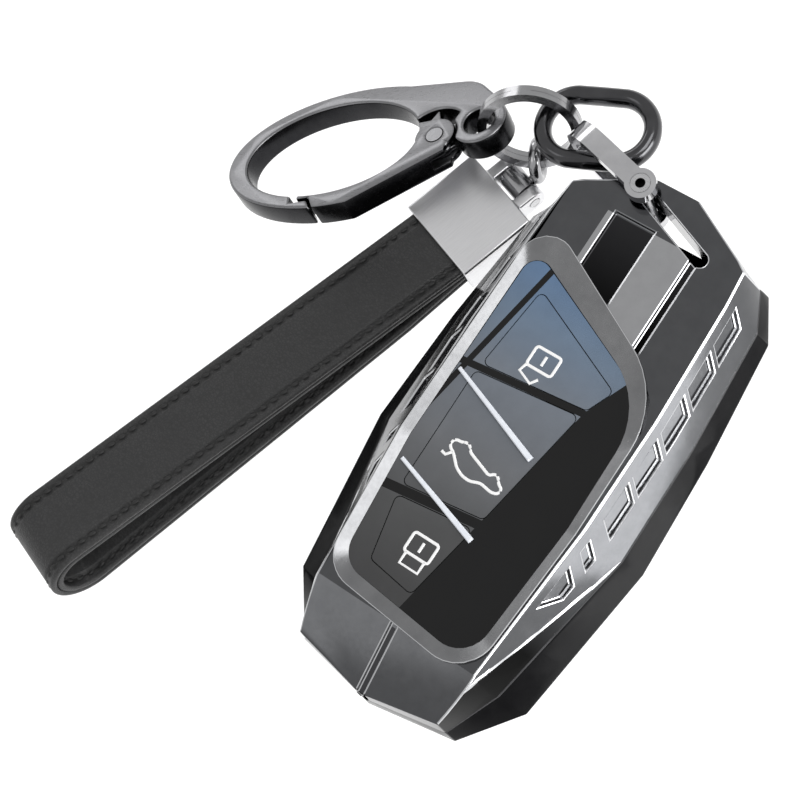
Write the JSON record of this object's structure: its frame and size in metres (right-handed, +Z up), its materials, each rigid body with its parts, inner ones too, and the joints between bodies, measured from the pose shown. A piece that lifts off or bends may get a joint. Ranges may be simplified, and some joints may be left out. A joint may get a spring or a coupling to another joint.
{
  "type": "key fob cover",
  "caption": "Faceted alloy key fob cover with a keypad window and the key inside, on a screw shackle with link rings, a spring-gate snap ring and a looped leather strap.",
  "frame": {"origin": "middle of the cover's flat back face, on the table", "axes": "+Z up out of the keypad, +Y along the cover towards the shackle end, +X to the cover's right side seen from above"},
  "size_m": [0.0969, 0.1134, 0.0207],
  "materials": {
    "gunmetal": "black chrome, polished facets with bright edges",
    "gloss_black": "gloss black",
    "keypad_black": "gloss black",
    "key_back": "matte black",
    "button_grey": "gloss blue-grey",
    "bright_bar": "bright chrome",
    "board": "green solder mask",
    "switch_black": "matte",
    "cell_steel": "brushed",
    "bright_shackle": "polished",
    "screw_steel": "satin",
    "dark_polished": "dark polish",
    "ring_steel": "satin",
    "satin_gunmetal": "satin",
    "clasp_metal": "satin",
    "black_leather": "fine grain, semi-matt"
  },
  "bodies": {
    "cover": {"front_cover": "gunmetal", "rear_cover": "gloss_black", "key_front_shell": "keypad_black", "key_rear_shell": "key_back", "upper_divider_bar": "bright_bar", "lower_divider_bar": "bright_bar", "circuit_board": "board", "tact_switches": "switch_black", "coin_cell": "cell_steel"},
    "unlock": {"unlock_button": "button_grey"},
    "trunk": {"trunk_button": "button_grey"},
    "lock": {"lock_button": "button_grey"},
    "shackle": {"shackle": "bright_shackle", "shackle_screw": "screw_steel"},
    "link": {"link_ring": "dark_polished"},
    "split": {"split_ring": "ring_steel"},
    "snap": {"snap_ring_frame": "satin_gunmetal", "gate_pin": "screw_steel", "gate_spring": "screw_steel"},
    "gate": {"snap_gate": "satin_gunmetal"},
    "strap_swivel": {"strap_link": "clasp_metal"},
    "strap": {"strap_clasp": "clasp_metal", "hinge_pin": "screw_steel", "strap_leather": "black_leather", "strap_lining": "black_leather"}
  },
  "joints": [
    {"name": "shackle_swivel", "type": "hinge", "parent": "cover", "child": "shackle", "pos_m": [-0.0046, 0.041, 0.014], "axis": [0, 0, 1], "range_deg": [-65, 0]},
    {"name": "link_tilt", "type": "hinge", "parent": "shackle", "child": "link", "pos_m": [-0.01932, 0.04481, 0.014], "axis": [0.2504, 0.9681, 0], "range_deg": [0, 15]},
    {"name": "split_ring_tilt", "type": "hinge", "parent": "link", "child": "split", "pos_m": [-0.02566, 0.04391, 0.014], "axis": [-0.3827, 0.9239, 0], "range_deg": [0, 30]},
    {"name": "snap_ring_tilt", "type": "hinge", "parent": "split", "child": "snap", "pos_m": [-0.0343, 0.03916, 0.0124], "axis": [-0.5519, 0.8339, 0], "range_deg": [0, 30]},
    {"name": "gate_hinge", "type": "hinge", "parent": "snap", "child": "gate", "pos_m": [-0.0397, 0.034, 0.01146], "axis": [0.3383, -0.1862, -0.9224], "range_deg": [0, 28], "stiffness_Nm_per_rad": 0.12, "springref_deg": -17.19},
    {"name": "strap_link_swing", "type": "hinge", "parent": "split", "child": "strap_swivel", "pos_m": [-0.02662, 0.04067, 0.00545], "axis": [-0.866, -0.5, 0], "range_deg": [-50, 0]},
    {"name": "strap_hinge", "type": "hinge", "parent": "strap_swivel", "child": "strap", "pos_m": [-0.02811, 0.03631, 0.0032], "axis": [-0.9466, 0.3223, 0], "range_deg": [-75, 0]},
    {"name": "unlock_press", "type": "slide", "parent": "cover", "child": "unlock", "axis": [0, 0, -1], "range_m": [0, 0.0005], "stiffness_N_per_m": 4000, "springref_m": -0.0001},
    {"name": "trunk_press", "type": "slide", "parent": "cover", "child": "trunk", "axis": [0, 0, -1], "range_m": [0, 0.0005], "stiffness_N_per_m": 4000, "springref_m": -0.0001},
    {"name": "lock_press", "type": "slide", "parent": "cover", "child": "lock", "axis": [0, 0, -1], "range_m": [0, 0.0005], "stiffness_N_per_m": 4000, "springref_m": -0.0001}
  ]
}
